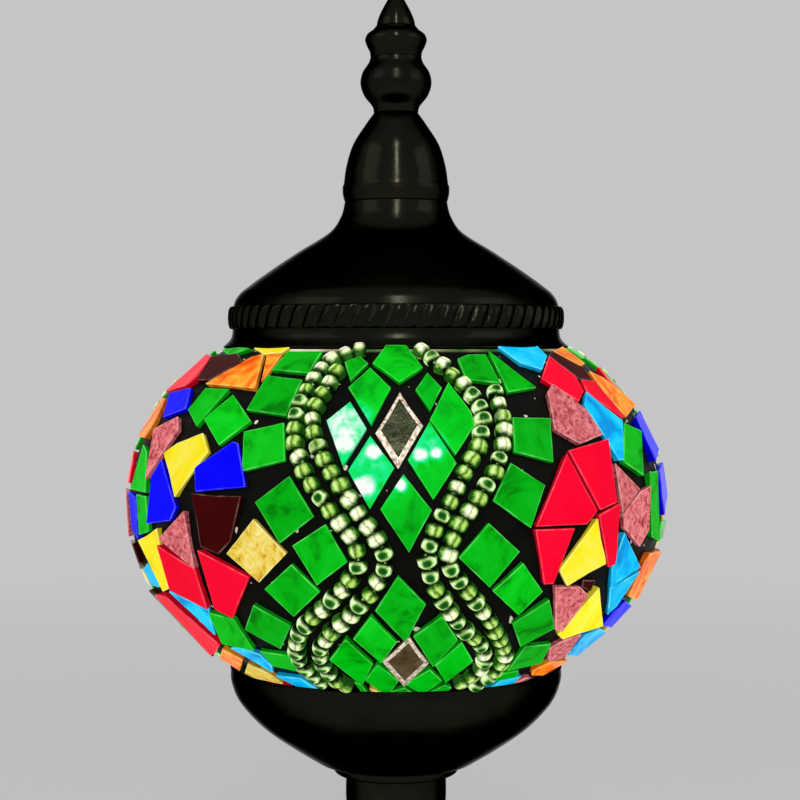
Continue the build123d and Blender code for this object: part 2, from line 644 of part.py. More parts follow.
def save_stand():
    """The foot, the stem and the cup."""
    bore = TUBE_RADIUS + TUBE_CLEARANCE
    save("foot_dome", foot_dome())
    save("foot_rope_band", rope_band(FOOT_WALL_RADIUS + 0.3, FOOT_BAND_DEPTH, BAND_LOW_Z, BAND_HIGH_Z))
    save("felt_pad", ring(14, FOOT_RADIUS - 1, 0, FELT))
    save("bottom_plate", bottom_plate())
    save("lock_washer", lock_washer())
    save("bottom_nut", hexagon_nut(19, bore, FELT + 2.9, 5))
    save("cord_grommet", cord_grommet())
    save("threaded_tube", ring(TUBE_BORE, TUBE_RADIUS, FELT + 0.6, TUBE_TOP_Z))
    save("lower_collar", turned_round([(18, 46.1), (20, 48), (18, 50)], bore))
    save("stem_knop", stem_knop())
    save("stem_column", stem_column())
    save("upper_collar", ring(bore, 18.6, 113.0, CUP_FLOOR_Z - SHEET - 0.1))
    cup = spun([(23.5, CUP_FLOOR_Z - SHEET), (32.2, 122.0), (40.6, 128.2), (46.9, 135.2), (49.3, 141),
                (CUP_RIM_RADIUS, CUP_RIM_Z)])
    cup += ring(bore, 23.6, CUP_FLOOR_Z - SHEET, CUP_FLOOR_Z)
    save("globe_cup", cup)
    save("cup_washer", ring(bore, 9.5, CUP_FLOOR_Z + 0.05, CUP_FLOOR_Z + 1.3))
    save("cup_nut", hexagon_nut(17, bore, CUP_FLOOR_Z + 1.4, 4))


def save_lampholder():
    """The lampholder in the globe."""
    save("socket_body", socket_body())
    save("socket_insulator", socket_insulator())
    save("socket_screw_shell", ring(SHELL_BORE, SHELL_BORE + 0.4, 143.0, SOCKET_TOP_Z - 1.5))
    save("socket_contact", Pos(0, 0, 142.2) * Cylinder(1.5, 5.2))
    save("terminal_screws", *terminal_screws())
    save("shade_ring", shade_ring())


def save_bulb():
    """The screw-in bulb."""
    save("bulb_screw_cap", ring(BULB_CAP_RADIUS - 0.4, BULB_CAP_RADIUS, BULB_CAP_Z + 2.6, BULB_CAP_Z + 21.6))
    save("bulb_insulator", turned([(2.1, BULB_CAP_Z + 1), (5.0, BULB_CAP_Z + 1),
                                   (6.4, BULB_CAP_Z + 3.4), (2.1, BULB_CAP_Z + 3.4)]))
    save("bulb_contact", Pos(0, 0, BULB_CAP_Z + 1.2) * Cylinder(2.0, 2.4))
    save("bulb_glass", bulb_glass())
    save("bulb_stem", Pos(0, 0, BULB_CENTRE_Z - 14) * Cylinder(2.2, 20))
    save("bulb_filament", bulb_filament())


def save_globe():
    """The glass globe and its mosaic."""
    save("glass_globe", glass_globe())
    save("grout_bed", grout_bed())
    save("globe_gasket", globe_gasket())
    beads = []
    for turn in MOTIF_TURNS:
        for points in STRANDS:
            beads.extend(strand(points, turn))
    seats = []
    for layout, turns in ((MOTIF, MOTIF_TURNS), (LEFT_PANEL, (0, -120)), (RIGHT_PANEL, (0,))):
        for colour, tiles in layout.items():
            for turn in turns:
                seats.extend((colour, *laid_out(corners, turn)) for corners in tiles)
    colours = {}
    for colour, outline, middle, normal in seats:
        neighbours = [seat[1] for seat in seats if 0 < (seat[2] - middle).length < NEIGHBOURHOOD]
        places = [place for place, along in beads if (place - middle).length < NEIGHBOURHOOD]
        face = nipped(outline, middle, normal, neighbours, places)
        colours.setdefault(colour, []).append(tile(face, middle, normal))
    for colour, tiles in colours.items():
        save(colour + "_tiles", *tiles)
    save("seed_beads", *[bead(place, along) for place, along in beads])


def save_cap():
    """The cap and its finial."""
    bore = ROD_RADIUS + TUBE_CLEARANCE
    save("cap_dome", cap_dome())
    save("cap_rope_band", rope_band(49.0, CAP_BAND_DEPTH, CAP_RIM_Z + 4.2, CAP_RIM_Z + 11))
    save("cap_inner_collar", ring(38.2, 39.2, CAP_RIM_Z - 2.5, CAP_RIM_Z + 19.6))
    save("finial_rod", Pos(0, 0, CAP_RIM_Z + 67) * Cylinder(ROD_RADIUS, 63))
    save("cap_washer", ring(bore, 7, CAP_TOP_Z - SHEET - 1.1, CAP_TOP_Z - SHEET - 0.05))
    save("cap_nut", hexagon_nut(8.1, bore, CAP_TOP_Z - SHEET - 4.4, 3.2))
    save("finial_bell", turned_round(raised(BELL_CURVE, CAP_RIM_Z), bore))
    save("finial_ball", turned_round(raised(BALL_CURVE, CAP_RIM_Z), bore))
    save("finial_ring", turned_round(raised(RING_CURVE, CAP_RIM_Z), bore))
    save("finial_tip", finial_tip())


os.makedirs("parts", exist_ok=True)
save_stand()
save_lampholder()
save_bulb()
save_globe()
save_cap()
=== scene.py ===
import json
import math
import random

import bmesh
import bpy
import numpy as np
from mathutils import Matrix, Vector, noise


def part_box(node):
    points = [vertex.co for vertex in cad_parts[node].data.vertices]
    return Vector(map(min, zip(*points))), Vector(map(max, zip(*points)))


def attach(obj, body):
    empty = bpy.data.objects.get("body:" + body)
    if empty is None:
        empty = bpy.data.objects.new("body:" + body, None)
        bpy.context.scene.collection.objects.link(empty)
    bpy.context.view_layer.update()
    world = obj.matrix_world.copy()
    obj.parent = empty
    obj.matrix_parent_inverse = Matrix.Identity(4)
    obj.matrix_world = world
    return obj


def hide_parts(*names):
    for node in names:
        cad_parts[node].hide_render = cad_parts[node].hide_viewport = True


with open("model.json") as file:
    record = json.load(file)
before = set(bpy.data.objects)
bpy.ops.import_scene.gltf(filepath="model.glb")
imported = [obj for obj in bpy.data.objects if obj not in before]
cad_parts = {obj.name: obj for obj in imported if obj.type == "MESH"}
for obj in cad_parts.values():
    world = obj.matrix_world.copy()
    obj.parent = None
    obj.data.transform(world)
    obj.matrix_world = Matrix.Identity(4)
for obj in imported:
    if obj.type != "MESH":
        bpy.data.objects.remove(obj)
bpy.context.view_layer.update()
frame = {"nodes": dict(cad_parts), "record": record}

# Looks of the mosaic glass table lamp. Blender's unit is the metre; sizes below are in millimetres
# and multiplied by MM. Places come from the CAD nodes.

MM = 0.001
WELD = 0.001 * MM              # corners of a CAD solid closer than this are one
DRAW = random.Random(7)

TILE_EDGE_WOBBLE = 0.08 * MM
TILE_EDGE_STEP = 0.9 * MM
TILE_FACE_WAVE = 0.12 * MM
TILE_TAPER = 0.93              # size of a tile's underside against its face
TILE_TOP = 2.8 * MM            # about how far the tiles' faces stand off the glass
GROUT_LOW = 1.15 * MM          # above the glass
GROUT_HIGH = 1.75 * MM
GROUT_UNEVEN = 0.16 * MM
GROUT_AROUND = 360
GROUT_ROWS = 120
LIT_BAND = 1.8 * MM            # height of the band of painted glow on the grout under the cap's rim
BEAD_RADIUS = 2.5 * MM
BEAD_HALF_LENGTH = 2.05 * MM
BEAD_HOLE = 0.45 * MM
BEAD_LIFT = 0.12 * MM          # above the CAD bead's middle
BEAD_LEAN = 0.3                # most that a bead leans to a side, as a slope
BEAD_TILT = 0.04               # most that it tips off the glass, as a slope
BEAD_SHIFT = 0.3 * MM          # most that it sits off its place in the strand
BEAD_SIDES = 24
SHEET = 1.0 * MM
LATHE_STEPS = 144
CURVE_STEPS = 8                # points from one point of an outline to the next
RIM_STEPS = 7                  # points round a sheet's rim
ROPE_SLANT = -0.9              # a strand's lean from the band's middle to its edge; pi is its width
ROPE_KNOCK = 0.1 * MM          # dents in the strands
ROPE_ROWS = 16
ROPE_STRAND_STEPS = 12


# ---- places read from the frame -----------------------------------------------------------------
def node_points(node):
    """A CAD node's vertices as an array."""
    vertices = frame["nodes"][node].data.vertices
    points = np.zeros(len(vertices) * 3)
    vertices.foreach_get("co", points)
    return points.reshape(-1, 3)


def globe_shape():
    """The glass ellipsoid's radius, half height and equator height."""
    points = node_points("glass_globe")
    reach = np.hypot(points[:, 0], points[:, 1])
    widest = reach.argmax()
    radius = reach[widest]
    equator = points[widest, 2]
    top = points[:, 2].max()
    mouth = reach[points[:, 2] > top - 0.02 * MM].max()
    return radius, (top - equator) / math.sqrt(1 - (mouth / radius) ** 2), equator


GLASS_RADIUS, GLASS_HALF_HEIGHT, EQUATOR = globe_shape()
CAP_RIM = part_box("cap_dome")[0].z
CUP_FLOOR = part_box("globe_cup")[0].z + SHEET


def outward(point):
    """The direction square to the globe at a point near it."""
    lean = (GLASS_RADIUS / GLASS_HALF_HEIGHT) ** 2
    return Vector((point[0], point[1], (point[2] - EQUATOR) * lean)).normalized()


def islands(node):
    """The separate solids of a CAD node, each as an array of its own corners."""
    mesh = frame["nodes"][node].data
    places = {}
    owner = []
    corner_of = []
    for vertex in mesh.vertices:
        key = tuple(round(value / WELD) for value in vertex.co)
        if key not in places:
            places[key] = len(owner)
            owner.append(len(owner))
        corner_of.append(places[key])

    def root(i):
        """The corner that stands for all the corners joined to this one."""
        while owner[i] != i:
            owner[i] = owner[owner[i]]
            i = owner[i]
        return i

    for polygon in mesh.polygons:
        first = root(corner_of[polygon.vertices[0]])
        for other in polygon.vertices[1:]:
            owner[root(corner_of[other])] = first
    groups = {}
    for key, i in places.items():
        groups.setdefault(root(i), []).append([value * WELD for value in key])
    return [np.array(points) for points in groups.values()]


# ---- mesh helpers -------------------------------------------------------------------------------
def new_piece(name, bm, body, node, material):
    """Turn a bmesh into a smooth piece that rides on a body and stands for a CAD node."""
    bmesh.ops.recalc_face_normals(bm, faces=bm.faces)
    mesh = bpy.data.meshes.new(name)
    bm.to_mesh(mesh)
    bm.free()
    mesh.polygons.foreach_set("use_smooth", [True] * len(mesh.polygons))
    mesh.materials.append(material)
    piece = bpy.data.objects.new(name, mesh)
    bpy.context.scene.collection.objects.link(piece)
    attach(piece, body)
    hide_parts(node)


def smooth_run(points):
    """A smooth line through a few points, each (radius, height)."""
    padded = [points[0]] + list(points) + [points[-1]]
    line = []
    for i in range(1, len(padded) - 2):
        p0, p1, p2, p3 = (Vector(padded[k]) for k in range(i - 1, i + 3))
        for s in range(CURVE_STEPS):
            t = s / CURVE_STEPS
            line.append(0.5 * (2 * p1 + (p2 - p0) * t + (2 * p0 - 5 * p1 + 4 * p2 - p3) * t * t
                               + (3 * p1 - p0 - 3 * p2 + p3) * t ** 3))
    line.append(Vector(padded[-2]))
    return line


def sheet_outline(outside, low_roll=0.0, high_roll=0.0):
    """The closed outline of spun sheet metal, with a rolled bead along either rim."""
    inner = []
    last = len(outside) - 1
    for i, point in enumerate(outside):
        along = (outside[min(i + 1, last)] - outside[max(i - 1, 0)]).normalized()
        inner.append(point + Vector((-along.y, along.x)) * SHEET)
    outline = list(outside)
    outline += rolled(outside[-1], inner[-1], outside[-1] - outside[-2], high_roll)
    outline += reversed(inner)
    outline += rolled(inner[0], outside[0], outside[0] - outside[1], low_roll)
    return outline


def rolled(start, end, direction, radius):
    """Points of a round rim from one side of a sheet to the other."""
    middle = (start + end) / 2
    half = max((start - end).length / 2, radius)
    away = direction.normalized()
    side = (start - end).normalized()
    centre = middle - away * half * 0.3 if radius else middle
    points = []
    for i in range(1, RIM_STEPS + 1):
        turn = math.pi * i / (RIM_STEPS + 1)
        points.append(centre + side * half * math.cos(turn) + away * half * math.sin(turn))
    return points


def lathe(outline):
    """A closed outline of (radius, height) points turned about Z."""
    bm = bmesh.new()
    rings = []
    for point in outline:
        if point[0] < WELD:
            rings.append([bm.verts.new((0, 0, point[1]))] * LATHE_STEPS)
            continue
        ring = []
        for i in range(LATHE_STEPS):
            turn = 2 * math.pi * i / LATHE_STEPS
            ring.append(bm.verts.new((point[0] * math.cos(turn), point[0] * math.sin(turn), point[1])))
        rings.append(ring)
    for a, b in zip(rings, rings[1:] + rings[:1]):
        for i in range(LATHE_STEPS):
            j = (i + 1) % LATHE_STEPS
            corners = []
            for vertex in (a[i], a[j], b[j], b[i]):
                if vertex not in corners:
                    corners.append(vertex)
            if len(corners) > 2:
                bm.faces.new(corners)
    return bm


def in_mm(points, height):
    """Outline points given in millimetres from a height, in metres."""
    return [(radius * MM, height + z * MM) for radius, z in points]


# ---- material helpers ---------------------------------------------------------------------------
def new_material(name, **values):
    """A Principled material with constants on its sockets."""
    material = bpy.data.materials.new(name)
    material.use_nodes = True
    shader = material.node_tree.nodes["Principled BSDF"]
    for socket, value in values.items():
        shader.inputs[socket.replace("_", " ")].default_value = value
    return material


def add(material, kind, **values):
    """Add a node and set its constants."""
    node = material.node_tree.nodes.new(kind)
    for key, value in values.items():
        if hasattr(node, key):
            setattr(node, key, value)
        else:
            node.inputs[key.replace("_", " ")].default_value = value
    return node


def join(material, source, target, socket=None):
    """Link an output to a node's input, or to the shader's."""
    if socket is None:
        material.node_tree.links.new(source, target)
    else:
        material.node_tree.links.new(source, target.inputs[socket])


def shader_of(material):
    """The material's Principled shader."""
    return material.node_tree.nodes["Principled BSDF"]


def object_noise(material, scale, detail=3.0, roughness=0.5, distortion=0.0):
    """Noise laid out in the object's own space."""
    place = add(material, "ShaderNodeTexCoord")
    texture = add(material, "ShaderNodeTexNoise", Scale=scale, Detail=detail, Roughness=roughness,
                  Distortion=distortion)
    join(material, place.outputs["Object"], texture, "Vector")
    return texture.outputs["Fac"]


def object_height(material):
    """Height above the surface that the lamp stands on."""
    place = add(material, "ShaderNodeTexCoord")
    parts = add(material, "ShaderNodeSeparateXYZ")
    join(material, place.outputs["Object"], parts, "Vector")
    return parts.outputs["Z"]


def stored_facts(material, name):
    """The colour stored at a piece's corners, and its three parts."""
    facts = add(material, "ShaderNodeAttribute", attribute_name=name)
    parts = add(material, "ShaderNodeSeparateColor")
    join(material, facts.outputs["Color"], parts, "Color")
    return facts.outputs["Color"], *parts.outputs


def between(material, source, low, high, at_low=0.0, at_high=1.0, curve="LINEAR"):
    """A value that runs from one level to another as its source runs from low to high."""
    node = add(material, "ShaderNodeMapRange", interpolation_type=curve)
    join(material, source, node, "Value")
    for socket, value in (("From Min", low), ("From Max", high), ("To Min", at_low), ("To Max", at_high)):
        node.inputs[socket].default_value = value
    return node.outputs["Result"]


def link_shader(material, colour, roughness=None, normal=None):
    """Link a material's colour, roughness and normal to its shader."""
    links = (("Base Color", colour), ("Roughness", roughness), ("Normal", normal))
    for socket, source in links:
        if source:
            join(material, source, shader_of(material), socket)
    return material


def emit(material, colour, strength):
    """Give a material a glow."""
    join(material, colour, shader_of(material), "Emission Color")
    shader_of(material).inputs["Emission Strength"].default_value = strength


def ramp(material, source, stops):
    """A colour ramp over a value."""
    node = add(material, "ShaderNodeValToRGB")
    elements = node.color_ramp.elements
    while len(elements) < len(stops):
        elements.new(0.5)
    for element, (position, colour) in zip(elements, stops):
        element.position = position
        element.color = (*colour, 1.0)
    join(material, source, node, "Fac")
    return node.outputs["Color"]


def grey(value):
    """A grey of one value, or a factor for a ramp."""
    return (value, value, value)


def bump(material, source, strength, distance, base=None):
    """Bump from a height, over another bump if one is given."""
    node = add(material, "ShaderNodeBump", Strength=strength, Distance=distance)
    join(material, source, node, "Height")
    if base:
        join(material, base, node, "Normal")
    return node.outputs["Normal"]


def mix_colour(material, factor, a, b, blend="MIX"):
    """Mix two colours; each is a socket or a colour."""
    node = add(material, "ShaderNodeMix", data_type="RGBA", blend_type=blend)
    for index, value in ((0, factor), (6, a), (7, b)):
        if hasattr(value, "is_linked"):
            join(material, value, node.inputs[index])
        elif index == 0:
            node.inputs[0].default_value = value
        else:
            node.inputs[index].default_value = (*value, 1.0)
    return node.outputs[2]


def maths(material, operation, a, b=0.0, clamp=False):
    """One maths node on sockets or numbers."""
    node = add(material, "ShaderNodeMath", operation=operation, use_clamp=clamp)
    for index, value in ((0, a), (1, b)):
        if hasattr(value, "is_linked"):
            join(material, value, node.inputs[index])
        else:
            node.inputs[index].default_value = value
    return node.outputs[0]


# ---- materials ----------------------------------------------------------------------------------
def dark_bronze(name="dark_bronze", roughness=0.16):
    """Near-black bronze lacquer with a faint orange peel, smears and warmer spots of wear."""
    material = new_material(name, Metallic=1.0, Specular_Tint=(0.10, 0.10, 0.09, 1.0))
    smears = object_noise(material, 38.0, 5.0, 0.6)
    patina = object_noise(material, 95.0, 6.0, 0.7, 0.4)
    tone = ramp(material, patina, [(0.3, (0.010, 0.011, 0.008)), (0.62, (0.016, 0.016, 0.011)),
                                   (0.85, (0.036, 0.028, 0.016))])
    rough = ramp(material, smears, [(0.3, grey(roughness * 0.7)), (0.7, grey(roughness * 1.6))])
    dents = bump(material, object_noise(material, 60.0, 2.0), 0.12, 0.4 * MM)
    peel = bump(material, object_noise(material, 700.0, 2.0), 0.08, 0.1 * MM, dents)
    return link_shader(material, tone, rough, peel)


def plain_metal(name, colour, roughness):
    """Plated or turned metal with fine streaks round the axis."""
    material = new_material(name, Metallic=1.0)
    place = add(material, "ShaderNodeTexCoord")
    stretch = add(material, "ShaderNodeMapping")
    stretch.inputs["Scale"].default_value = (1.0, 1.0, 14.0)
    texture = add(material, "ShaderNodeTexNoise", Scale=160.0, Detail=4.0)
    join(material, place.outputs["Object"], stretch, "Vector")
    join(material, stretch.outputs["Vector"], texture, "Vector")
    streaks = texture.outputs["Fac"]
    darker = tuple(value * 0.72 for value in colour)
    tone = ramp(material, streaks, [(0.3, darker), (0.7, colour)])
    rough = ramp(material, streaks, [(0.3, grey(roughness * 0.7)), (0.7, grey(roughness * 1.4))])
    return link_shader(material, tone, rough, bump(material, streaks, 0.1, 0.1 * MM))


def felt():
    """Black felt with short fibres."""
    material = new_material("felt", Roughness=0.95, Sheen_Weight=0.4, Sheen_Roughness=0.6)
    fibres = object_noise(material, 900.0, 8.0, 0.8, 1.5)
    tone = ramp(material, fibres, [(0.3, (0.012, 0.014, 0.012)), (0.7, (0.05, 0.055, 0.048))])
    return link_shader(material, tone, normal=bump(material, fibres, 0.6, 0.4 * MM))


def moulded(name, colour, roughness, gloss=0.0):
    """Moulded plastic or fired ceramic with a faint grain."""
    material = new_material(name, Coat_Weight=gloss, Coat_Roughness=0.1)
    grain = object_noise(material, 500.0, 5.0, 0.6)
    darker = tuple(value * 0.8 for value in colour)
    tone = ramp(material, grain, [(0.35, darker), (0.65, colour)])
    rough = ramp(material, grain, [(0.3, grey(roughness * 0.8)), (0.7, grey(roughness * 1.2))])
    return link_shader(material, tone, rough, bump(material, grain, 0.1, 0.1 * MM))


def clear_glass(name, colour=(0.95, 0.98, 0.96), roughness=0.03):
    """Clear blown glass with faint ripples."""
    material = new_material(name, Roughness=roughness, Transmission_Weight=1.0, IOR=1.5)
    ripple = object_noise(material, 45.0, 2.0)
    tint = tuple(value * 0.96 for value in colour)
    tone = ramp(material, ripple, [(0.3, tint), (0.7, colour)])
    return link_shader(material, tone, normal=bump(material, ripple, 0.06, 0.6 * MM))


def grout():
    """Fine black grout, wiped by hand, with a band of painted glow under the cap's rim where light shows
    through.
    """
    material = new_material("grout", Specular_IOR_Level=0.12, IOR=1.3)
    sand = object_noise(material, 1400.0, 6.0, 0.7)
    wipe = object_noise(material, 150.0, 4.0, 0.6)
    tone = ramp(material, wipe, [(0.3, (0.0012, 0.0016, 0.001)), (0.75, (0.006, 0.006, 0.004))])
    # Pale crumbs in the grout, which also get a faint painted glow.
    crumbs_and_glow = ramp(material, object_noise(material, 340.0, 0.0), [(0.80, grey(0.0)), (0.815, grey(1.0))])
    tone = mix_colour(material, crumbs_and_glow, tone, (0.80, 0.64, 0.44))
    # Painted light: a band just under the cap's rim glows, standing for the bulb's light between the cap
    # and the globe.
    rise = between(material, object_height(material), CAP_RIM - LIT_BAND, CAP_RIM)
    painted_glow_band = ramp(material, rise, [(0.0, grey(0.0)), (0.35, grey(1.0)), (0.6, grey(1.0)), (1.0, grey(0.0))])
    light = ramp(material, object_noise(material, 45.0, 2.0),
                 [(0.42, (0.02, 0.14, 0.02)), (0.54, (0.42, 0.34, 0.20)), (0.64, (0.9, 0.85, 0.68))])
    glow = mix_colour(material, painted_glow_band, grey(0.0), light)
    emit(material, mix_colour(material, crumbs_and_glow, glow, grey(0.2)), 1.0)
    rough = ramp(material, wipe, [(0.35, grey(0.35)), (0.65, grey(0.7))])
    lumps = bump(material, wipe, 0.5, 0.5 * MM)
    return link_shader(material, tone, rough, bump(material, sand, 0.3, 0.15 * MM, lumps))


# Each stained glass: deep colour, lit colour, brightest streak, scale of its figure, strength of its
# figure, bump scale and bump strength.
STAINED = {
    "green": ((0.0, 0.17, 0.002), (0.0, 0.50, 0.005), (0.004, 0.68, 0.02), 75, 0.75, 260, 0.35),
    "red": ((0.55, 0.0, 0.012), (0.97, 0.0, 0.026), (1.0, 0.01, 0.05), 50, 0.25, 160, 0.15),
    "dark_red": ((0.012, 0.0, 0.0), (0.04, 0.0, 0.0), (0.07, 0.001, 0.0), 60, 0.4, 200, 0.2),
    "blue": ((0.0, 0.0, 0.55), (0.0, 0.0, 1.0), (0.01, 0.01, 1.0), 50, 0.25, 160, 0.15),
    "cyan": ((0.0, 0.22, 0.6), (0.0, 0.52, 1.0), (0.05, 0.8, 1.0), 60, 0.8, 160, 0.2),
    "yellow": ((0.85, 0.5, 0.0), (1.0, 0.84, 0.012), (1.0, 0.95, 0.3), 70, 0.5, 220, 0.3),
    "amber": ((0.5, 0.24, 0.01), (0.82, 0.58, 0.06), (1.0, 0.86, 0.3), 190, 1.0, 300, 0.5),
    "orange": ((0.75, 0.07, 0.0), (1.0, 0.2, 0.01), (1.0, 0.5, 0.04), 90, 1.0, 220, 0.4),
    "mauve": ((0.30, 0.03, 0.045), (0.62, 0.12, 0.14), (0.88, 0.32, 0.31), 420, 1.0, 620, 0.8),
}

# The bulb's hot spots in the glass at the front: longitude, latitude and size in degrees, and strength.
HOT_SPOTS = [
    (-11, 26, 5.0, 1.2), (-10.3, 20.5, 2.2, 1.4), (-4.2, 18.2, 1.5, 1.8), (-6, 9.3, 2.1, 1.9),
    (-6, 15, 9.0, 0.4), (0, 20, 17.0, 0.32), (4.8, 17.5, 1.4, 1.5), (8, 17.8, 1.1, 1.5), (7, 20, 3.6, 0.45),
    (0.9, 10, 1.3, 1.9),
]
SPOT_SPREAD = 1.6              # where a spot's glow ends, against its size
GLASS_GLOW = 0.95              # emission of the lit glass and beads


def hot_glow(material, glow):
    """The glass's glow with the bulb itself showing through it in places."""
    place = add(material, "ShaderNodeTexCoord")
    mottle = add(material, "ShaderNodeTexNoise", Scale=420.0, Detail=4.0)
    join(material, place.outputs["Object"], mottle, "Vector")
    total = None
    for lon, lat, size, strength in HOT_SPOTS:
        lon = math.radians(lon)
        lat = math.radians(lat)
        reach = (GLASS_RADIUS + TILE_TOP) * math.cos(lat)
        height = EQUATOR + (GLASS_HALF_HEIGHT + TILE_TOP) * math.sin(lat)
        gap = add(material, "ShaderNodeVectorMath", operation="DISTANCE")
        join(material, place.outputs["Object"], gap.inputs[0])
        gap.inputs[1].default_value = (reach * math.sin(lon), -reach * math.cos(lon), height)
        edge = math.radians(size) * GLASS_RADIUS * SPOT_SPREAD
        spot = between(material, gap.outputs["Value"], 0.0, edge, strength, 0.0, "SMOOTHERSTEP")
        total = spot if total is None else maths(material, "ADD", total, spot)
    uneven = ramp(material, mottle.outputs["Fac"], [(0.36, grey(0.6)), (0.56, grey(1.0))])
    total = maths(material, "MULTIPLY", total, uneven)
    hot = ramp(material, maths(material, "MULTIPLY", total, 0.5),
               [(0.14, (0.002, 0.76, 0.025)), (0.32, (0.01, 0.88, 0.28)), (0.55, (0.45, 0.96, 0.70)),
                (0.72, (1.0, 1.0, 1.0))])
    return mix_colour(material, maths(material, "MULTIPLY", total, 2.2, True), glow, hot)


def stained_glass(colour):
    """Stained glass lit from inside, its glow painted on as emission, with its own figure, darker deep
    spots, a painted highlight along the cut edges and painted shadow on the walls.
    """
    deep, lit, bright, scale, figure, ripple_scale, ripple = STAINED[colour]
    material = new_material(colour + "_glass", Roughness=0.06, IOR=1.03, Coat_Weight=0.09,
                            Coat_Roughness=0.05)
    facts, edge, chance, wall = stored_facts(material, "tile_facts")
    place = add(material, "ShaderNodeTexCoord")
    own = add(material, "ShaderNodeVectorMath", operation="MULTIPLY_ADD")
    join(material, facts, own.inputs[0])
    own.inputs[1].default_value = (0.0, 0.4, 0.0)
    join(material, place.outputs["Object"], own.inputs[2])
    swirl = add(material, "ShaderNodeTexNoise", Scale=scale, Detail=5.0, Roughness=0.6, Distortion=1.6)
    join(material, own.outputs["Vector"], swirl, "Vector")
    figured = [(0.5 - 0.28 / (1 + figure), deep), (0.47, lit), (0.5 + 0.32 / (0.6 + figure), bright)]
    tone = ramp(material, swirl.outputs["Fac"], figured)
    tone = mix_colour(material, figure, lit, tone)
    shade = between(material, chance, 0.0, 1.0, 0.72 if colour == "green" else 0.92, 1.1)
    tone = mix_colour(material, 1.0, tone, shade, "MULTIPLY")
    # Painted highlight: a paler colour glows along the cut edges, in patches.
    rim = tuple(min(1.0, value * 1.1 + 0.14) for value in bright)
    edge_highlight_patches = ramp(material, object_noise(material, 260.0, 3.0), [(0.40, grey(0.2)), (0.62, grey(0.85))])
    glow = mix_colour(material, maths(material, "MULTIPLY", edge, edge_highlight_patches), tone, rim)
    if colour == "green":
        glow = hot_glow(material, glow)
    # Painted light: the glow is emission standing for the bulb's light through the glass; the walls get
    # painted shadow.
    shadow = mix_colour(material, 1.0, glow, grey(0.35), "MULTIPLY")
    emit(material, mix_colour(material, wall, glow, shadow), GLASS_GLOW)
    body = mix_colour(material, 1.0, tone, grey(0.12), "MULTIPLY")
    waves = add(material, "ShaderNodeTexNoise", Scale=ripple_scale, Detail=2.0, Roughness=0.4)
    join(material, own.outputs["Vector"], waves, "Vector")
    gentle = bump(material, object_noise(material, 55.0, 1.0), 0.25, 0.8 * MM)
    surface = bump(material, waves.outputs["Fac"], ripple, 0.25 * MM, gentle)
    return link_shader(material, body, normal=surface)


def bead_glass():
    """Pale green glass beads: clear cream ones, ones with the dark grout showing through as a painted dark
    middle, and olive ones; painted highlights and shade run along their sides and ends.
    """
    material = new_material("bead_glass", Roughness=0.06, Specular_IOR_Level=0.3, IOR=1.3)
    across, chance, along = stored_facts(material, "bead_facts")[1:]
    swirl = maths(material, "SUBTRACT", object_noise(material, 620.0, 3.0), 0.5)
    swirl = maths(material, "MULTIPLY", swirl, 0.35)
    bent = maths(material, "ADD", across, swirl)
    roundness = 2.4            # of the rings round a bead's middle: 2 is round, more is squarer
    powers = []
    for source, middle in ((bent, 0.56), (along, 0.5)):
        off = maths(material, "ABSOLUTE", maths(material, "SUBTRACT", source, middle))
        powers.append(maths(material, "POWER", off, roundness))
    from_middle = maths(material, "POWER", maths(material, "ADD", *powers), 1 / roundness)
    # Across a bead: painted highlights on its sides, brighter to one side, a dark line painted for the hole
    # seen through the glass, and painted shade at its edges.
    cream = ramp(material, bent, [
        (0.08, (0.02, 0.12, 0.01)), (0.18, (0.34, 0.54, 0.14)), (0.26, (0.90, 0.96, 0.58)),
        (0.44, (0.96, 1.0, 0.72)), (0.49, (0.22, 0.40, 0.04)), (0.54, (0.90, 0.98, 0.58)),
        (0.76, (1.0, 1.0, 0.88)), (0.88, (0.42, 0.68, 0.16)), (0.96, (0.02, 0.12, 0.01)),
    ])
    # Ringed beads: a dark middle painted for the grout seen through the glass, then a ring of painted
    # highlight.
    ringed = ramp(material, from_middle, [
        (0.12, (0.004, 0.06, 0.003)), (0.24, (0.02, 0.20, 0.01)), (0.31, (0.48, 0.78, 0.22)),
        (0.40, (0.92, 1.0, 0.70)), (0.47, (0.30, 0.56, 0.12)), (0.54, (0.01, 0.07, 0.004)),
    ])
    olive = ramp(material, bent, [
        (0.08, (0.008, 0.06, 0.003)), (0.18, (0.12, 0.36, 0.03)), (0.30, (0.56, 0.80, 0.18)),
        (0.43, (0.34, 0.58, 0.08)), (0.49, (0.03, 0.14, 0.008)), (0.56, (0.22, 0.46, 0.05)),
        (0.70, (0.80, 0.98, 0.40)), (0.84, (0.22, 0.50, 0.06)), (0.94, (0.01, 0.08, 0.004)),
    ])
    is_olive = ramp(material, chance, [(0.34, grey(0.0)), (0.36, grey(1.0))])
    is_ringed = ramp(material, chance, [(0.64, grey(0.0)), (0.66, grey(1.0))])
    body = mix_colour(material, is_ringed, mix_colour(material, is_olive, cream, olive), ringed)
    # Painted shade: darker towards each bead's ends, where the beads meet.
    end = (0.02, 0.06, 0.02)
    near_end = (0.5, 0.56, 0.4)
    ends = ramp(material, maths(material, "ADD", along, swirl), [
        (0.04, end), (0.16, near_end), (0.3, grey(1.0)), (0.7, grey(1.0)), (0.84, near_end), (0.96, end),
    ])
    glow = mix_colour(material, 1.0, body, ends, "MULTIPLY")
    emit(material, glow, GLASS_GLOW)
    tone = mix_colour(material, 1.0, glow, grey(0.15), "MULTIPLY")
    ripple = object_noise(material, 300.0, 2.0)
    return link_shader(material, tone, normal=bump(material, ripple, 0.2, 0.2 * MM))


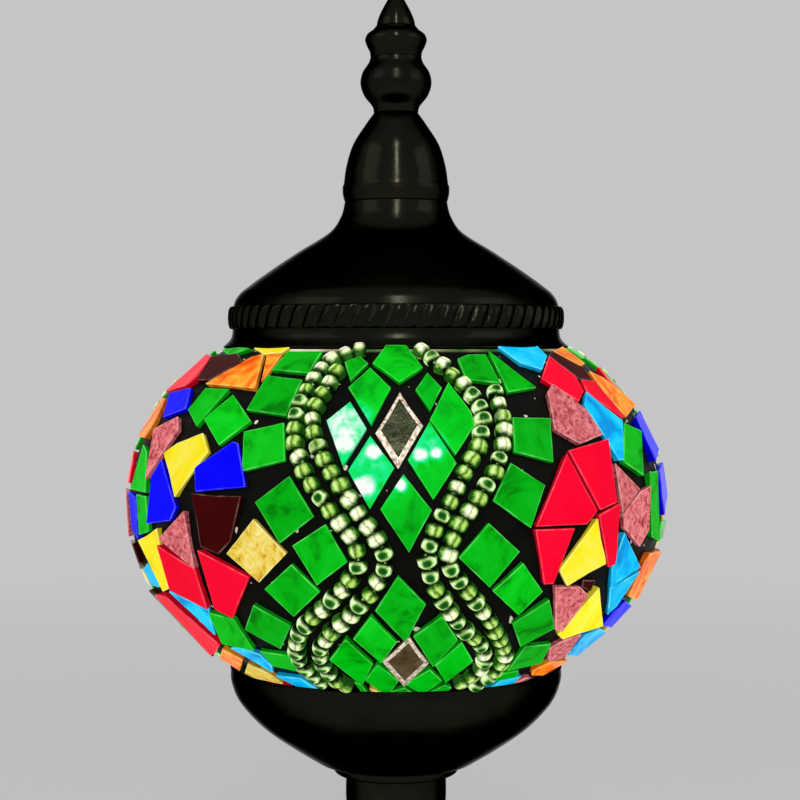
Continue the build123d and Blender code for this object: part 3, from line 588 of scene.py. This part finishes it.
def mirror():
    """Mirror tile: its face painted as a reflection, near black above the globe's equator and warm brown
    below, and its chipped bevel painted pale as a reflection; all of it glows a little as painted light.
    """
    material = new_material("mirror", Roughness=0.12, Specular_IOR_Level=0.3)
    edge = stored_facts(material, "tile_facts")[1]
    cloud = object_noise(material, 300.0, 5.0, 0.6)
    chips = object_noise(material, 900.0, 4.0, 0.7)
    # Painted reflection: the face is near black above the globe's equator and warm brown below.
    upper = ramp(material, cloud, [(0.35, (0.010, 0.016, 0.005)), (0.7, (0.04, 0.046, 0.018))])
    lower = ramp(material, cloud, [(0.35, (0.07, 0.045, 0.018)), (0.7, (0.17, 0.12, 0.06))])
    above = maths(material, "GREATER_THAN", object_height(material), EQUATOR)
    face = mix_colour(material, above, lower, upper)
    # Painted reflection: the bevel is pale, over real chips.
    bevel = ramp(material, chips, [(0.36, (0.22, 0.14, 0.09)), (0.58, (0.85, 0.72, 0.60))])
    rim = ramp(material, maths(material, "ADD", edge, maths(material, "MULTIPLY", cloud, 0.2)),
               [(0.22, grey(0.0)), (0.34, grey(1.0))])
    tone = mix_colour(material, rim, face, bevel)
    # Painted light: the mirror glows with its painted colours.
    emit(material, tone, 0.5)
    silver = ramp(material, rim, [(0.0, grey(0.5)), (1.0, grey(0.1))])
    join(material, silver, shader_of(material), "Metallic")
    return link_shader(material, tone, normal=bump(material, chips, 0.2, 0.2 * MM))


def glowing(name, colour, strength):
    """A glowing wire."""
    material = new_material(name, Roughness=0.5)
    darker = tuple(value * 0.8 for value in colour)
    emit(material, ramp(material, object_noise(material, 900.0), [(0.3, darker), (0.7, colour)]), strength)
    return material


# ---- mosaic -------------------------------------------------------------------------------------
def face_normal(corners):
    """The outward direction square to a tile's flat face."""
    middle = corners.mean(0)
    normal = Vector(np.linalg.svd(corners - middle)[2][2])
    return normal if normal.dot(outward(middle)) > 0 else -normal


def tile_outline(corners, centre, across, upright):
    """A tile's outline in its own plane, with close points and slightly uneven cut edges."""
    flat = [Vector(((Vector(p) - centre).dot(across), (Vector(p) - centre).dot(upright))) for p in corners]
    flat.sort(key=lambda p: math.atan2(p.y, p.x))
    outline = []
    for i, corner in enumerate(flat):
        following = flat[(i + 1) % len(flat)]
        count = max(2, round((following - corner).length / TILE_EDGE_STEP))
        for k in range(count):
            place = corner.lerp(following, k / count)
            push = noise.noise((centre + across * place.x + upright * place.y) * 420) * TILE_EDGE_WOBBLE
            outline.append(place * (1 + push / place.length))
    return outline


# Rings of a tile from its underside to its middle: size, how far in and down from the face's edge (in
# millimetres, or None at the underside), how strong the painted highlight on the cut edge is there, and how
# much of it is wall, which gets painted shadow.
TILE_RINGS = [
    (TILE_TAPER, 0.0, None, 0.0, 1.0), (1.0, 0.0, 0.5, 0.0, 1.0), (1.0, 0.0, 0.22, 0.6, 0.4),
    (1.0, 0.06, 0.06, 1.0, 0.0), (1.0, 0.18, 0.0, 0.7, 0.0), (1.0, 0.42, 0.0, 0.0, 0.0),
    (0.8, 0.42, 0.0, 0.0, 0.0), (0.55, 0.42, 0.0, 0.0, 0.0), (0.3, 0.42, 0.0, 0.0, 0.0),
]
MIRROR_RINGS = TILE_RINGS[:2] + [
    (0.98, 0.0, 0.2, 1.0, 0.0), (0.80, 0.0, 0.0, 0.9, 0.0), (0.76, 0.0, 0.0, 0.0, 0.0),
    (0.6, 0.0, 0.0, 0.0, 0.0), (0.3, 0.0, 0.0, 0.0, 0.0),
]


def add_tile(bm, facts, points, rings):
    """Cut one tile: tapering walls, a crisp arris and a slightly wavy face."""
    rough_normal = outward(points.mean(0))
    heights = (points - points.mean(0)) @ np.array(rough_normal)
    upper = points[heights > 0]
    normal = face_normal(upper)
    centre = Vector(upper.mean(0))
    thickness = max((centre - Vector(p)).dot(normal) for p in points[heights < 0])
    across = normal.cross(Vector((0, 0, 1))).normalized()
    upright = across.cross(normal).normalized()
    outline = tile_outline(upper, centre, across, upright)
    chance = DRAW.random()
    rows = []
    for size, inset, drop, edge, wall in rings:
        row = []
        for p in outline:
            q = p * (1 - min(inset * MM / p.length, 0.8)) * size
            place = centre + across * q.x + upright * q.y
            place -= normal * (thickness if drop is None else drop * MM)
            if edge == 0 and wall == 0:
                place += normal * noise.noise(place * 160 + Vector((chance, 0, 0)) * 30) * TILE_FACE_WAVE
            vertex = bm.verts.new(place)
            vertex[facts] = (edge, chance, wall, 1.0)
            row.append(vertex)
        rows.append(row)
    count = len(outline)
    for a, b in zip(rows, rows[1:]):
        for i in range(count):
            j = (i + 1) % count
            bm.faces.new((a[i], a[j], b[j], b[i]))
    bm.faces.new(rows[-1])
    bm.faces.new(list(reversed(rows[0])))


def build_tiles():
    """Rebuild every tile of every colour from its CAD solid."""
    for colour in list(STAINED) + ["mirror"]:
        node = colour + "_tiles"
        bm = bmesh.new()
        facts = bm.verts.layers.float_color.new("tile_facts")
        is_mirror = colour == "mirror"
        for points in islands(node):
            add_tile(bm, facts, points, MIRROR_RINGS if is_mirror else TILE_RINGS)
        material = mirror() if is_mirror else stained_glass(colour)
        new_piece(colour + "_mosaic", bm, "stand", node, material)


def add_bead(bm, facts, points):
    """One barrel-shaped glass bead with its thread hole."""
    centre = Vector(points.mean(0))
    spread = np.linalg.eigh(np.cov((points - points.mean(0)).T))
    along = Vector(spread[1][:, 2])
    up = outward(centre)
    up = (up - along * up.dot(along)).normalized()
    side = along.cross(up)
    radius = BEAD_RADIUS * DRAW.uniform(0.86, 1.06)
    half = BEAD_HALF_LENGTH * DRAW.uniform(0.82, 1.02)
    along += side * DRAW.uniform(-BEAD_LEAN, BEAD_LEAN) + up * DRAW.uniform(-BEAD_TILT, BEAD_TILT)
    along.normalize()
    if along.z > 0:
        along = -along
    side = along.cross(up).normalized()
    centre += up * BEAD_LIFT + side * DRAW.uniform(-BEAD_SHIFT, BEAD_SHIFT)
    height = (centre.z - EQUATOR) / GLASS_HALF_HEIGHT
    chance = min(max(DRAW.random() * 0.8 + 0.12 - height * 0.25, 0.0), 1.0)
    half_profile = [(BEAD_HOLE, 0.9), (radius * 0.52, 1.0), (radius * 0.75, 0.93), (radius * 0.9, 0.74),
                    (radius * 0.98, 0.48), (radius, 0.18)]
    profile = [(reach, -offset * half) for reach, offset in half_profile]
    profile += [(reach, offset * half) for reach, offset in reversed(half_profile)]
    rows = []
    for reach, offset in profile:
        row = []
        for i in range(BEAD_SIDES):
            turn = 2 * math.pi * i / BEAD_SIDES
            spoke = up * math.cos(turn) + side * math.sin(turn)
            vertex = bm.verts.new(centre + along * offset + spoke * reach)
            vertex[facts] = (0.5 + 0.5 * math.sin(turn), chance, 0.5 + offset / half * 0.5, 1.0)
            row.append(vertex)
        rows.append(row)
    for a, b in zip(rows, rows[1:] + rows[:1]):
        for i in range(BEAD_SIDES):
            j = (i + 1) % BEAD_SIDES
            bm.faces.new((a[i], a[j], b[j], b[i]))


def build_beads():
    """Rebuild the strands of seed beads."""
    bm = bmesh.new()
    facts = bm.verts.layers.float_color.new("bead_facts")
    for points in islands("seed_beads"):
        add_bead(bm, facts, points)
    new_piece("bead_strands", bm, "stand", "seed_beads", bead_glass())


def build_grout():
    """The black grout that fills the lines between the tiles: a shell round the globe that the tiles stand
    out of.
    """
    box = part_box("grout_bed")
    high = (box[1].z - EQUATOR) / GLASS_HALF_HEIGHT
    low = (box[0].z - EQUATOR) / GLASS_HALF_HEIGHT
    top = math.asin(min(high, 1.0))
    bottom = math.asin(max(low, -1.0))
    bm = bmesh.new()
    layers = []
    for lift, uneven in ((GROUT_HIGH, GROUT_UNEVEN), (GROUT_LOW, 0.0)):
        layer = []
        for r in range(GROUT_ROWS + 1):
            lat = bottom + (top - bottom) * r / GROUT_ROWS
            row = []
            for i in range(GROUT_AROUND):
                lon = 2 * math.pi * i / GROUT_AROUND
                reach = GLASS_RADIUS * math.cos(lat)
                place = Vector((reach * math.cos(lon), reach * math.sin(lon),
                                EQUATOR + GLASS_HALF_HEIGHT * math.sin(lat)))
                rise = noise.noise(place * 230) + 0.5 * noise.noise(place * 700)
                row.append(bm.verts.new(place + outward(place) * (lift + uneven * rise)))
            layer.append(row)
        layers.append(layer)
    outer, inner = layers
    for i in range(GROUT_AROUND):
        j = (i + 1) % GROUT_AROUND
        for r in range(GROUT_ROWS):
            bm.faces.new((outer[r][i], outer[r][j], outer[r + 1][j], outer[r + 1][i]))
            bm.faces.new((inner[r + 1][i], inner[r + 1][j], inner[r][j], inner[r][i]))
        bm.faces.new((inner[0][i], inner[0][j], outer[0][j], outer[0][i]))
        bm.faces.new((outer[-1][i], outer[-1][j], inner[-1][j], inner[-1][i]))
    new_piece("grout_lines", bm, "stand", "grout_bed", grout())


# ---- metalwork ----------------------------------------------------------------------------------
BRONZE = dark_bronze()
POLISHED = dark_bronze("polished_bronze", 0.1)


def metal_piece(name, outline, body, node, material=BRONZE):
    """A turned or spun piece of the lamp's metalwork."""
    new_piece(name, lathe(outline), body, node, material)


def sheet_piece(name, node, body, height, points):
    """A spun shell through a few outside points, in millimetres from a height."""
    metal_piece(name, sheet_outline(smooth_run(in_mm(points, height))), body, node)


def turned_piece(name, node, body, height, runs, bore):
    """A turned knob: smooth runs of outside points, meeting at crisp lines, round a straight bore."""
    outline = []
    for run in runs:
        outline += smooth_run(in_mm(run, height))
    outline.append(Vector((bore, outline[-1][1])))
    outline.append(Vector((bore, outline[0][1])))
    metal_piece(name, outline, body, node)


def rope_ring(name, node, body, strands, depth):
    """A low half-round band cut into slanted rope strands, as deep as given in millimetres."""
    low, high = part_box(node)
    middle = (low.z + high.z) / 2
    half = (high.z - low.z) / 2
    crest = high.x
    depth *= MM
    back = crest - depth * 1.15
    around = strands * ROPE_STRAND_STEPS
    bm = bmesh.new()
    rows = []
    for k in range(ROPE_ROWS + 1):
        swing = math.pi * (k / ROPE_ROWS - 0.5)
        row = []
        for i in range(around):
            turn = 2 * math.pi * i / around
            strand = abs(math.cos(strands * turn / 2 + ROPE_SLANT * math.sin(swing))) ** 0.7
            knock = noise.noise(Vector((math.cos(turn), math.sin(turn), swing)) * 9) * ROPE_KNOCK
            round_strand = math.cos(swing) ** 0.6 * (0.2 + 0.8 * strand)
            reach = crest - depth + (depth - ROPE_KNOCK) * round_strand + knock
            row.append(bm.verts.new((reach * math.cos(turn), reach * math.sin(turn),
                                     middle + half * math.sin(swing))))
        rows.append(row)
    for z in (high.z, low.z):
        rows.append([bm.verts.new((back * math.cos(2 * math.pi * i / around),
                                   back * math.sin(2 * math.pi * i / around), z)) for i in range(around)])
    for a, b in zip(rows, rows[1:] + rows[:1]):
        for i in range(around):
            j = (i + 1) % around
            bm.faces.new((a[i], a[j], b[j], b[i]))
    new_piece(name, bm, body, node, BRONZE)


# Outsides of the metalwork, each point (radius, height) in millimetres: the cap's and finial's heights are
# above the cap's rim, the cup's above its floor, and the stem's above the surface that the lamp stands on.
CAP_CURVE = [
    (51.2, 0), (49.3, 2), (48.75, 4), (48.7, 8), (48.3, 12.4), (46.6, 15.4), (43.6, 17.9), (39.8, 20.7),
    (34.3, 24.5), (28.5, 28.3), (19.8, 33.8), (16.4, 38.6), (15.3, 42.8),
]
CAP_TOP = CAP_RIM + CAP_CURVE[-1][1] * MM
BELL_RUNS = [
    [(15.3, 42.9), (15.9, 45.3), (15.9, 47.6)],
    [(15.6, 48.1), (14.8, 53.6), (12.8, 60), (9, 66), (6.6, 69.3)],
]
BALL_RUNS = [[(6.6, 69.4), (7.1, 71.4), (9.5, 74.5), (10.6, 78), (10, 81.3), (8.2, 84.1), (7.6, 85.8)]]
RING_RUNS = [[(7.6, 85.9), (7.8, 87.4), (8.7, 89.3), (9.2, 91), (8.6, 92.6), (7, 93.9), (6, 95)]]
TIP_CURVE = [(5.8, 95.1), (5.4, 97), (4.5, 99.2), (3.4, 101.3), (2.4, 103.1), (1.5, 104.8), (0, 106.5)]
CUP_CURVE = [(23.5, -1.0), (32.2, 4.5), (40.6, 10.7), (46.9, 17.7), (49.3, 23.5), (49.4, 27.7)]
KNOP_CURVE = [(7.5, 50.2), (12, 51.5), (16.3, 57), (17.5, 64), (16.3, 71), (12.5, 77), (9, 79.5), (8, 82)]
COLUMN_CURVE = [(9.5, 82.2), (9.6, 85), (10.8, 90), (13.4, 97), (15, 104), (15, 112.9)]
COLLAR_RUNS = [[(18, 46.1), (19.4, 46.6), (20, 48), (19.4, 49.4), (18, 50)]]
ROD_BORE = 2.1 * MM
TUBE_BORE = 5.0 * MM
TIP_HOLE_DEPTH = 4.0 * MM


def build_cap():
    """The lift-off cap with its rope band and finial."""
    outside = smooth_run(in_mm(CAP_CURVE, CAP_RIM))
    shell = sheet_outline(outside, low_roll=0.7 * MM)
    closed = outside + [Vector((ROD_BORE, CAP_TOP)), Vector((ROD_BORE, CAP_TOP - SHEET)),
                        Vector((outside[-1].x - SHEET, CAP_TOP - SHEET))]
    closed += shell[len(outside) + RIM_STEPS:]
    metal_piece("cap_shell", closed, "cap", "cap_dome")
    rope_ring("cap_rope", "cap_rope_band", "cap", 64, 1.5)
    turned_piece("bell_finial", "finial_bell", "cap", CAP_RIM, BELL_RUNS, ROD_BORE)
    turned_piece("ball_finial", "finial_ball", "cap", CAP_RIM, BALL_RUNS, ROD_BORE)
    turned_piece("ring_finial", "finial_ring", "cap", CAP_RIM, RING_RUNS, ROD_BORE)
    tip = smooth_run(in_mm(TIP_CURVE, CAP_RIM))
    hole_top = tip[0][1] + TIP_HOLE_DEPTH
    tip += [Vector((0, hole_top)), Vector((ROD_BORE, hole_top)), Vector((ROD_BORE, tip[0][1]))]
    metal_piece("tip_finial", tip, "finial_tip", "finial_tip")


def build_stand():
    """The cup, the stem and the foot."""
    outside = smooth_run(in_mm(CUP_CURVE, CUP_FLOOR))
    shell = sheet_outline(outside, high_roll=0.8 * MM)
    closed = [Vector((TUBE_BORE, CUP_FLOOR - SHEET)), *shell[:-RIM_STEPS], Vector((TUBE_BORE, CUP_FLOOR))]
    metal_piece("cup_shell", closed, "stand", "globe_cup")
    sheet_piece("knop", "stem_knop", "stand", 0, KNOP_CURVE)
    sheet_piece("column", "stem_column", "stand", 0, COLUMN_CURVE)
    turned_piece("neck_collar", "lower_collar", "stand", 0, COLLAR_RUNS, TUBE_BORE)
    low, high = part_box("upper_collar")
    edge = 0.5 * MM
    flange = [(TUBE_BORE, low.z), (high.x - edge, low.z), (high.x, low.z + edge), (high.x, high.z - edge),
              (high.x - edge, high.z), (TUBE_BORE, high.z)]
    metal_piece("cup_flange", flange, "stand", "upper_collar", POLISHED)
    rope_ring("foot_rope", "foot_rope_band", "stand", 72, 1.9)


def dress_cad_nodes():
    """Finishes for the CAD pieces that keep their own shape."""
    steel = plain_metal("plated_steel", (0.62, 0.62, 0.6), 0.3)
    brass = plain_metal("brass", (0.78, 0.58, 0.26), 0.25)
    nickel = plain_metal("nickel", (0.75, 0.74, 0.7), 0.18)
    finishes = {
        "plated_steel": steel,
        "brass": brass,
        "nickel": nickel,
        "felt": felt(),
        "black_plastic": moulded("black_plastic", (0.022, 0.022, 0.022), 0.4),
        "white_ceramic": moulded("white_ceramic", (0.85, 0.83, 0.78), 0.25, 0.5),
        "black_glass": moulded("black_glass", (0.015, 0.015, 0.02), 0.1, 1.0),
        "bulb_clear_glass": clear_glass("bulb_clear_glass", (1.0, 0.98, 0.95), 0.0),
        "filament": glowing("filament", (1.0, 0.62, 0.25), 30.0),
        "clear_glass": clear_glass("clear_glass"),
        "dark_bronze": BRONZE,
    }
    for entry in frame["record"]["subparts"]:
        material = finishes.get(entry["material_slot"])
        if material:
            node = frame["nodes"][entry["node"]]
            node.data.materials.clear()
            node.data.materials.append(material)
            node.data.polygons.foreach_set("use_smooth", [True] * len(node.data.polygons))


# ---- studio -------------------------------------------------------------------------------------
FLOOR_RADIUS = 1500.0 * MM
FLOOR_GREY = 0.74
SURROUND_GREY = 0.56
CAMERA_PLACE = (1.2 * MM, -560.0 * MM, EQUATOR + 46.4 * MM)
CAMERA_DIP = 1.68              # degrees below level
CAMERA_LENS = 84.2             # millimetres, for a sensor of SENSOR_WIDTH
SENSOR_WIDTH = 36.0


def floor_finish():
    """A pale floor that fades out into the surround."""
    material = new_material("studio_floor", Base_Color=(*grey(FLOOR_GREY), 1.0), Roughness=0.7)
    place = add(material, "ShaderNodeTexCoord")
    reach = add(material, "ShaderNodeVectorMath", operation="LENGTH")
    join(material, place.outputs["Object"], reach.inputs[0])
    fade = ramp(material, maths(material, "DIVIDE", reach.outputs["Value"], FLOOR_RADIUS),
                [(0.2, grey(0.0)), (0.95, grey(1.0))])
    clear = add(material, "ShaderNodeBsdfTransparent")
    blend = add(material, "ShaderNodeMixShader")
    join(material, fade, blend.inputs[0])
    join(material, shader_of(material).outputs["BSDF"], blend.inputs[1])
    join(material, clear.outputs["BSDF"], blend.inputs[2])
    join(material, blend.outputs["Shader"], material.node_tree.nodes["Material Output"], "Surface")
    return material


# Soft boxes: name, azimuth and elevation in degrees, distance, width, height, power and colour.
SOFT_BOXES = [
    ("key_light", 2, 38, 1.3, 0.05, 0.9, 5.0, (1.0, 0.98, 0.94)),
    ("left_light", -62, 30, 1.6, 0.9, 0.9, 2.0, (1.0, 0.97, 0.93)),
    ("right_light", 70, 25, 1.6, 0.9, 0.9, 2.0, (0.94, 0.97, 1.0)),
]


def build_studio():
    """A pale floor that fades into a pale surround, and soft lights."""
    bm = bmesh.new()
    bmesh.ops.create_circle(bm, cap_ends=True, segments=96, radius=FLOOR_RADIUS)
    mesh = bpy.data.meshes.new("studio_floor")
    bm.to_mesh(mesh)
    bm.free()
    floor = bpy.data.objects.new("studio_floor", mesh)
    bpy.context.scene.collection.objects.link(floor)
    floor.data.materials.append(floor_finish())
    world = bpy.data.worlds.new("studio")
    bpy.context.scene.world = world
    world.use_nodes = True
    world.node_tree.nodes["Background"].inputs["Color"].default_value = (*grey(SURROUND_GREY), 1.0)
    aim = Vector((0, 0, EQUATOR))
    for name, azimuth, elevation, distance, width, height, power, colour in SOFT_BOXES:
        a = math.radians(azimuth)
        e = math.radians(elevation)
        data = bpy.data.lights.new(name, "AREA")
        data.shape = "RECTANGLE"
        data.size = width
        data.size_y = height
        data.energy = power
        data.color = colour
        lamp = bpy.data.objects.new(name, data)
        away = Vector((math.sin(a) * math.cos(e), -math.cos(a) * math.cos(e), math.sin(e)))
        lamp.location = aim + away * distance
        lamp.rotation_euler = (aim - lamp.location).to_track_quat("-Z", "Y").to_euler()
        lamp.visible_camera = False
        bpy.context.scene.collection.objects.link(lamp)


def build_camera():
    """A long lens level with the cap's rim, a little more than half a metre in front."""
    data = bpy.data.cameras.new("camera")
    data.sensor_width = SENSOR_WIDTH
    data.lens = CAMERA_LENS
    camera = bpy.data.objects.new("camera", data)
    camera.location = CAMERA_PLACE
    camera.rotation_euler = (math.radians(90 - CAMERA_DIP), 0, 0)
    bpy.context.scene.collection.objects.link(camera)
    bpy.context.scene.camera = camera


build_tiles()
build_beads()
build_grout()
build_cap()
build_stand()
dress_cad_nodes()
build_studio()
build_camera()
bpy.context.scene.view_settings.view_transform = "Standard"
